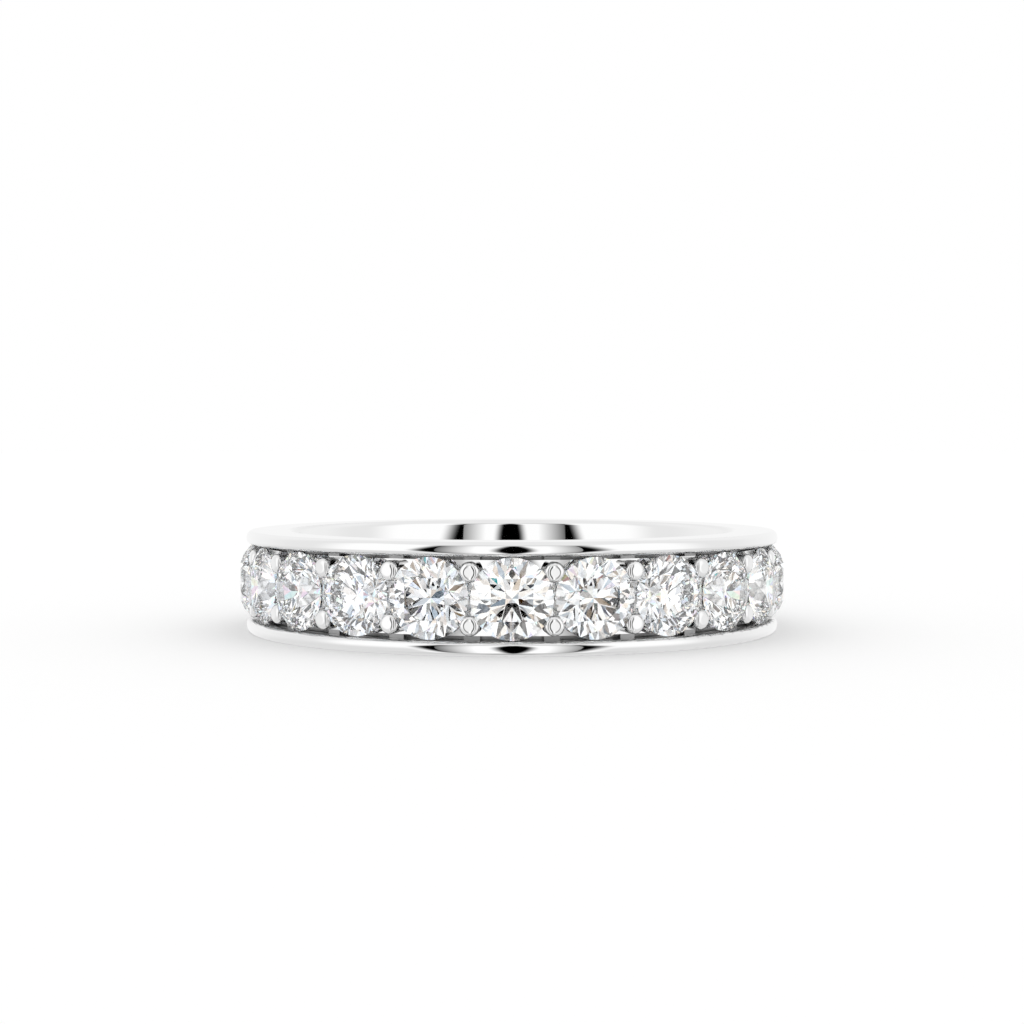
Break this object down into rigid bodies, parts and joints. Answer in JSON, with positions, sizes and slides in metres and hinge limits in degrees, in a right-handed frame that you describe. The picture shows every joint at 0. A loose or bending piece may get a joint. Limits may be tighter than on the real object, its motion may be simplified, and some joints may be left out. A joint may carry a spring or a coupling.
{
  "type": "eternity ring",
  "caption": "Full eternity ring: a polished comfort fit band whose outer channel holds round brilliant stones all the way round, each held by shared bead prongs.",
  "frame": {"origin": "centre of the ring's axis on the surface that it lies on, at the bottom of its box", "axes": "+Z along the finger axis and up, the ring lying on its side face; -Y through the middle of the first stone"},
  "size_m": [0.0206, 0.0206, 0.0038],
  "materials": {
    "white_gold": "mirror polished, rhodium plated",
    "diamond": "polished facets"
  },
  "bodies": {
    "root": {"ring_band": "white_gold", "stone_1": "diamond", "stone_2": "diamond", "stone_3": "diamond", "stone_4": "diamond", "stone_5": "diamond", "stone_6": "diamond", "stone_7": "diamond", "stone_8": "diamond", "stone_9": "diamond", "stone_10": "diamond", "stone_11": "diamond", "stone_12": "diamond", "stone_13": "diamond", "stone_14": "diamond", "stone_15": "diamond", "stone_16": "diamond", "stone_17": "diamond", "stone_18": "diamond", "stone_19": "diamond", "stone_20": "diamond", "stone_21": "diamond", "stone_22": "diamond"}
  },
  "joints": []
}
